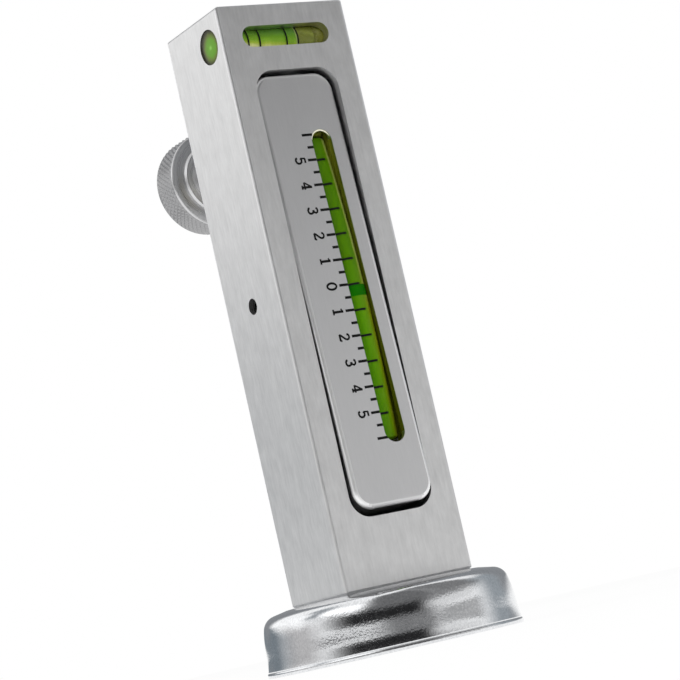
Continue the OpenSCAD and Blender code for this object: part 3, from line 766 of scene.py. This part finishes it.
def addShortVial(v):
    r, x0, x1, plugX, innerX = v["spiritRadius"], v["endX"], v["meniscusX"], v["plugX"], v["innerX"]

    def acrossBar(outline):
        return turned(outline, 64, "X", v["axis"])

    quarter = [math.radians(9 * i) for i in range(11)]
    outline = [(r * math.sin(angle), x0 + v["endDome"] * (1 - math.cos(angle))) for angle in quarter]
    outline += [(r, x0 + 0.003), (r, -0.006), (r, x1), (r * 0.94, x1 - 0.00015), (r * 0.6, x1 - 0.0007),
                (0, x1 - 0.001)]
    spirit = pieceFrom("shortSpirit", acrossBar(outline), shortSpirit, "bar", smooth=True)
    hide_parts("level_vial_liquid")

    skin = r + v["skin"]
    outline = [(r * 0.95, x1 + 0.00002), (skin, x1 - 0.0001), (skin, x1 + 0.00035), (r * 0.97, x1 + 0.0004)]
    pieceFrom("shortMeniscus", acrossBar(outline), meniscusLime, "bar", smooth=True)

    outline = [(r - 0.0002, x1 + 0.0004), (r, x1 + 0.0006), (r, plugX - 0.0002), (r - 0.0002, plugX),
               (r - 0.0005, plugX), (r - 0.0005, x1 + 0.0004)]
    pieceFrom("shortAirWall", acrossBar(outline), airKhaki, "bar", smooth=True)

    outline = [(0, plugX + 0.0001), (r - 0.0004, plugX + 0.0001), (r, plugX + 0.0006),
               (r, innerX - 0.0003), (r - 0.0003, innerX), (0, innerX)]
    plug = pieceFrom("shortPlug", acrossBar(outline), plugPlastic, "bar", smooth=True)
    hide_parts("level_vial_plug")

    x, rim = v["endFlatX"], v["endRadius"]
    shares = (0, 0.25, 0.5, 0.7, 0.85, 0.95, 1)
    outline = [(rim * share, x - v["endCrown"] * (1 - share ** 2)) for share in shares]
    outline += [(rim, x + v["endThick"]), (0, x + v["endThick"])]
    pieceFrom("shortVialEnd", acrossBar(outline), windowEnd, "bar", smooth=True)

    inner, outer, half = v["tubeRadius"] - v["ringRoot"], v["tubeRadius"] + v["ringDepth"], v["ringWidth"] / 2
    rings = []
    for offset in (-v["ringFar"], -v["ringNear"], v["ringNear"], v["ringFar"]):
        left, right = v["ringMiddle"] + offset - half, v["ringMiddle"] + offset + half
        rings.append(acrossBar([(inner, left), (outer, left), (outer, right), (inner, right)]))
    pieceFrom("shortVialRings", joined(*rings), blackInk, "bar")


addShortVial(shortVial)
print("short vial filled")

# The knob: a head with a diamond knurl, a low collar on its inner face and a neck towards the bar
knurledKnob = {
    "neckY": 0.0326,
    "headY": 0.0364,
    "endY": 0.0460,
    "boreRadius": 0.00302,
    "boreDepth": 0.009,
    "neckRadius": 0.0064,
    "collarRadius": 0.0097,
    "collarHeight": 0.0011,
    "headRadius": 0.0134,
    "rounding": 0.0005,
    "chamfer": 0.0005,
    # the hollow in its end, as (radius, depth)
    "dish": [(0.0095, 0), (0.0091, 0.0004), (0.0022, 0.0004), (0.0012, 0.0010), (0, 0.0016)],
    "diamonds": 62,
    "rows": 8,
    "depth": 0.00026,
    "flatShare": 0.3,
}


def knurlPatch(k):
    # each diamond is a low frame, four sloping sides and a small flat top
    low, high = k["headRadius"] - k["depth"], k["headRadius"]
    y0, y1 = k["headY"] + k["chamfer"], k["endY"] - k["chamfer"]
    columns, rows, f = 2 * k["diamonds"], k["rows"], k["flatShare"]

    def spot(i, j, radius):
        angle = math.pi * i / k["diamonds"]
        y = y0 + (y1 - y0) * min(max(j, 0), rows) / rows
        return radius * math.cos(angle), y, knobAxis[2] + radius * math.sin(angle)

    points, faces = [], []
    for j in range(rows + 1):
        top = low if j in (0, rows) else high        # the half diamonds at the ends run out flat
        for i in range(j % 2, columns, 2):
            start = len(points)
            ring = ((i - 1, j), (i, j - 1), (i + 1, j), (i, j + 1))
            points += [spot(a, b, low) for a, b in ring]
            points += [spot(i + (a - i) * f, j + (b - j) * f, top) for a, b in ring]
            faces.append((start + 4, start + 5, start + 6, start + 7))
            for n in range(4):
                m = (n + 1) % 4
                faces.append((start + n, start + m, start + 4 + m, start + 4 + n))
    return points, faces


def addKnob(k):
    # under the knurl the head is a little smaller, so that the knurl's low points stay clear of it
    r, c, base = k["headRadius"] - k["depth"], k["chamfer"], k["headRadius"] - 2 * k["depth"]
    y0, y1, neckY, collarY = k["headY"], k["endY"], k["neckY"], k["headY"] - k["collarHeight"]
    boreEnd, soft = neckY + k["boreDepth"], k["rounding"]
    outline = [(k["boreRadius"], neckY)]
    for radius, start, end in ((k["neckRadius"], neckY, collarY), (k["collarRadius"], collarY, y0)):
        outline += [(radius - soft, start), (radius, start + soft), (radius, end)]
    # the chamfers are slightly rounded
    outline += [(r - c, y0), (r - c * 0.35, y0 + c * 0.3), (r, y0 + c * 0.9), (r, y0 + c), (base, y0 + c),
                (base, y1 - c), (r, y1 - c), (r, y1 - c * 0.9), (r - c, y1)]
    outline += [(radius, y1 - depth) for radius, depth in k["dish"]]
    outline += [(0, boreEnd), (k["boreRadius"], boreEnd)]
    shape = turned(outline, 160, "Y", knobAxis)
    body = pieceFrom("knobTurned", shape, knobMetal, "adjuster", smooth=True)
    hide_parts("adjuster_knob")
    pieceFrom("knobKnurl", knurlPatch(k), knurlMetal, "adjuster")


addKnob(knurledKnob)
print("knob knurled")

# The thumb screw, with its real thread between the pad and the knob
threadedStud = {
    "noseY": 0.00645,
    "noseRadius": 0.0012,
    "threadY": 0.00806,
    "threadEnd": 0.0345,
    "backY": 0.0415,
    "pitch": 0.001,
    "crest": 0.00299,
    "root": 0.00242,
    "rootPlay": 0.00001,   # the shank lies this much inside the thread's root
    "chamfer": 0.0003,
    "cone": (0.001, 0.0004),    # it widens between these ways before the thread's end
}


def helixThread(t, steps=36):
    profile = [(t["root"], 0.06), (t["crest"], 0.44), (t["crest"], 0.56), (t["root"], 0.94)]
    turns = int((t["threadEnd"] - t["threadY"]) / t["pitch"]) - 1
    points, faces = [], []
    for n in range(turns * steps + 1):
        angle = 2 * math.pi * n / steps
        for radius, share in profile:
            y = t["threadY"] + (n / steps + share) * t["pitch"]
            points.append((radius * math.cos(angle), y, knobAxis[2] + radius * math.sin(angle)))
    for n in range(turns * steps):
        a, b = 4 * n, 4 * (n + 1)
        faces += [(a + j, a + j + 1, b + j + 1, b + j) for j in range(3)]
        if n + 1 + steps <= turns * steps:
            faces.append((a + 3, a + 4 * steps, b + 4 * steps, b + 3))
    return points, faces


def addStud(t):
    thread = pieceFrom("studThread", helixThread(t), screwSteel, "adjuster",
                       smooth=True, capEnds=True)
    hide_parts("adjuster_stud")
    root, nose, c = t["root"] - t["rootPlay"], t["noseRadius"], t["chamfer"]
    shank = [(0, t["noseY"]), (nose - c, t["noseY"]), (nose, t["noseY"] + c), (nose, t["threadY"]),
             (t["root"] - c, t["threadY"]), (root, t["threadY"] + c), (root, t["threadEnd"] - t["cone"][0]),
             (t["crest"], t["threadEnd"] - t["cone"][1]), (t["crest"], t["backY"]), (0, t["backY"])]
    shape = turned(shank, 64, "Y", knobAxis)
    pieceFrom("studShank", shape, screwSteel, "adjuster", smooth=True)


addStud(threadedStud)
print("screw threaded")

# The cup is drawn from sheet: a lip at its rim, a wall that flares to it, and a rounded shoulder
drawnCup = {
    "rimRadius": 0.0326,
    "height": 0.0157,
    "sheet": 0.0016,
    "lip": [(0.0003, 0), (0.00008, 0.0001), (0, 0.0003), (0.00002, 0.0008), (0.00006, 0.0011),
            (0.00018, 0.00125), (0.00036, 0.00135), (0.00036, 0.0015)],      # (way in from the rim, height)
    "wallFoot": 0.03230,
    "wallTilts": [(0.0016, 9.5), (0.0020, 9.0), (0.0030, 7.0), (0.0040, 4.8), (0.0047, 3.4), (0.0056, 2.8),
                  (0.0070, 3.3), (0.0080, 4.6), (0.0090, 6.4), (0.0100, 8.4), (0.0110, 10.6), (0.0120, 12.5)],
    "shoulder": 0.0038,
    "flatRadius": 0.0233,
    "stemHole": 0.00405,
}


def wallPoints(c):
    # radius and height up the wall, each step leaning in by its tilt in degrees
    radius, points, steps = c["wallFoot"], [(c["wallFoot"], c["wallTilts"][0][0])], 3
    for (z0, tilt0), (z1, tilt1) in zip(c["wallTilts"], c["wallTilts"][1:]):
        for i in range(steps):
            tilt = tilt0 + (tilt1 - tilt0) * (i + 0.5) / steps
            radius -= math.tan(math.radians(tilt)) * (z1 - z0) / steps
            points.append((radius, z0 + (z1 - z0) * (i + 1) / steps))
    return points


def addCup(c):
    wall = wallPoints(c)
    startTilt = c["wallTilts"][-1][1]
    sheet, rim, height, flat = c["sheet"], c["rimRadius"], c["height"], c["flatRadius"]
    centreX = wall[-1][0] - c["shoulder"] * math.cos(math.radians(startTilt))
    centreZ = wall[-1][1] - c["shoulder"] * math.sin(math.radians(startTilt))
    crown = height - centreZ - c["shoulder"]
    shoulderEnd = 90 - math.degrees(math.atan(crown / (centreX - flat)))
    outer = [(rim - sheet + 0.0002, 0)] + [(rim - inset, z) for inset, z in c["lip"]] + wall[:-1]
    outer += arcPoints((centreX, centreZ), c["shoulder"], startTilt, shoulderEnd, 18)
    outer += [(flat + 0.0015, height - crown * 0.22), (flat, height - 0.00004), (flat - 0.001, height),
              (c["stemHole"], height)]
    inner = [(c["stemHole"], height - sheet), (flat, height - sheet)]
    inner += reversed(arcPoints((centreX, centreZ), c["shoulder"] - sheet, 10, shoulderEnd, 8))
    inner.append((rim - sheet, 0.0004))
    cup = pieceFrom("drawnCup", turned(outer + inner, 256), cupMetal, "bar", smooth=True)
    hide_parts("magnet_cup")


addCup(drawnCup)
print("cup drawn")

# Floor, lamps, background and the cards that only the metal's reflections see.
# A card's azimuth is in degrees from the camera's side, to the right, and its level is its brightness.
# Its fades are how many degrees it takes to come in from its left, right, lower and upper edges, and where
# cards overlap, the one at the shorter distance is in front.
studio = {
    "floorHalf": 6.0,
    "floorGlow": 0.95,
    "world": 0.55,
    "lamps": {      # place, size and power
        "keyLeft": ((-1.05, -0.22, 0.60), 0.7, 7.0),
        "fillFront": ((-0.35, -1.1, 0.9), 1.0, 5.0),
        "fillRight": ((1.1, 0.1, 0.5), 0.8, 3.0),
    },
    "lampAim": (0, 0, 0.08),
    "cardCentre": (0, 0, 0.02),
    "cards": {      # azimuths, elevations, fades, level and distance
        "lowFront": ((-78, 66), (6.5, 26), (46, 40, 3, 5), (0.02, 0.02, 0.021), 2.0),
        "tableFront": ((-110, 98), (0.1, 6.2), (60, 58, 0.1, 2.2), (0.13, 0.13, 0.132), 2.0),
        "closeFront": ((-22, 54), (4.4, 9.5), (30, 22, 1.5, 2), (0.17, 0.17, 0.173), 1.98),
        "highFront": ((-32, 64), (17, 84), (26, 26, 5, 10), (0.16, 0.16, 0.163), 1.95),
        "highRight": ((30, 116), (12.5, 84), (26, 20, 6, 10), (0.22, 0.22, 0.223), 1.92),
        "lowRight": ((36, 100), (1, 9), (20, 16, 3, 2.5), (0.43, 0.43, 0.432), 1.9),
        "streakLeft": ((-76, -14), (18, 54), (20, 20, 6, 16), (1.45, 1.45, 1.45), 1.85),
        "gapLeft": ((-108, -56), (17, 70), (14, 22, 7, 16), (0.36, 0.38, 0.40), 1.97),
        "streakRight": ((26, 92), (8.5, 18), (26, 12, 2.5, 5), (0.78, 0.78, 0.78), 1.85),
        "endRight": ((82, 150), (0.1, 45), (34, 20, 0.1, 16), (0.33, 0.36, 0.385), 1.8),
        "endLeft": ((-190, -88), (0.1, 12), (14, 42, 0.1, 5), (0.20, 0.23, 0.255), 1.8),
        "leftHigh": ((-150, -78), (10, 50), (14, 14, 6, 14), (1.15, 1.15, 1.15), 1.85),
        "rear": ((124, 226), (1, 78), (16, 16, 4, 10), (0.26, 0.27, 0.285), 1.75),
        "sideLeft": ((-124, -56), (0.1, 18), (24, 30, 0.1, 6), (0.53, 0.52, 0.52), 1.9),
    },
}


def studioMesh(name, points, faces, material):
    mesh = bpy.data.meshes.new(name)
    mesh.from_pydata(points, [], faces)
    mesh.materials.append(material)
    piece = bpy.data.objects.new(name, mesh)
    bpy.context.scene.collection.objects.link(piece)
    return piece


def seenBy(tree, *rays):
    # 1 where a ray of one of these kinds arrives, and 0 for the others
    path = addNode(tree, "ShaderNodeLightPath").outputs
    seen = path[rays[0]]
    for ray in rays[1:]:
        seen = mathNode(tree, "MAXIMUM", seen, path[ray])
    return seen


def addFloor(s):
    paint = {"Base Color": (0.96, 0.96, 0.96, 1), "Roughness": 0.9}
    material, tree, shader = newMaterial("studioFloorPaint", paint)
    glow = addNode(tree, "ShaderNodeEmission")
    share = mathNode(tree, "MULTIPLY", seenBy(tree, "Is Camera Ray", "Is Glossy Ray"), s["floorGlow"])
    surface = blendShaders(tree, share, shader.outputs[0], glow.outputs[0])
    tree.links.new(surface, tree.nodes["Material Output"].inputs["Surface"])
    h = s["floorHalf"]
    corners = [(-h, -h, 0), (h, -h, 0), (h, h, 0), (-h, h, 0)]
    floor = studioMesh("studioFloor", corners, [(0, 1, 2, 3)], material)
    floor.location.z = -0.00002      # just under the cup's rim


def cardPaint(name, level):
    # a glow as strong as the mesh's own strength says, and clear where that is 0
    material, tree = newMaterial(name, {})[:2]
    strength = addNode(tree, "ShaderNodeAttribute", attribute_name="strength")
    clear = addNode(tree, "ShaderNodeBsdfTransparent")
    glow = addNode(tree, "ShaderNodeEmission")
    glow.inputs["Color"].default_value = (*level, 1)
    surface = blendShaders(tree, strength.outputs["Fac"], clear.outputs[0], glow.outputs[0])
    tree.links.new(surface, tree.nodes["Material Output"].inputs["Surface"])
    return material


def addCards(s):
    columns, rows = 24, 16
    for name, ((left, right), (low, high), fades, level, distance) in s["cards"].items():
        points, strengths = [], []
        for j in range(rows + 1):
            for i in range(columns + 1):
                azimuth, elevation = left + (right - left) * i / columns, low + (high - low) * j / rows
                away = outward(cameraView["azimuth"] + azimuth, elevation)
                points.append(tuple(Vector(s["cardCentre"]) + away * distance))
                inside = (azimuth - left, right - azimuth, elevation - low, high - elevation)
                strength = 1.0
                for depth, fade in zip(inside, fades):
                    share = min(max(depth / fade, 0.0), 1.0)
                    strength *= share * share * (3 - 2 * share)
                strengths.append(strength)
        panel = studioMesh(name, points, gridFaces(columns, rows), cardPaint(name + "Paint", level))
        panel.data.attributes.new("strength", "FLOAT", "POINT").data.foreach_set("value", strengths)
        panel.visible_camera = False
        panel.visible_diffuse = False
        panel.visible_shadow = False
        panel.visible_transmission = False


def addWorld(s):
    world = bpy.data.worlds.new("studioWorld")
    bpy.context.scene.world = world
    world.use_nodes = True
    tree = world.node_tree
    tree.nodes.clear()
    output = addNode(tree, "ShaderNodeOutputWorld")
    soft, white = addNode(tree, "ShaderNodeBackground"), addNode(tree, "ShaderNodeBackground")
    setInputs(soft, {"Color": (1, 1, 1, 1), "Strength": s["world"]})
    setInputs(white, {"Color": (1, 1, 1, 1), "Strength": 1.0})
    seen = seenBy(tree, "Is Camera Ray", "Is Glossy Ray", "Is Transmission Ray")
    tree.links.new(blendShaders(tree, seen, soft.outputs[0], white.outputs[0]), output.inputs["Surface"])


def addLamps(s):
    for name, (place, size, power) in s["lamps"].items():
        data = bpy.data.lights.new(name, "AREA")
        data.size = size
        data.energy = power
        light = bpy.data.objects.new(name, data)
        light.visible_glossy = False
        light.location = place
        light.rotation_euler = (Vector(s["lampAim"]) - Vector(place)).to_track_quat("-Z", "Y").to_euler()
        bpy.context.scene.collection.objects.link(light)


addFloor(studio)
addCards(studio)
addWorld(studio)
addLamps(studio)
bpy.context.scene.view_settings.view_transform = "Standard"
print("studio set")
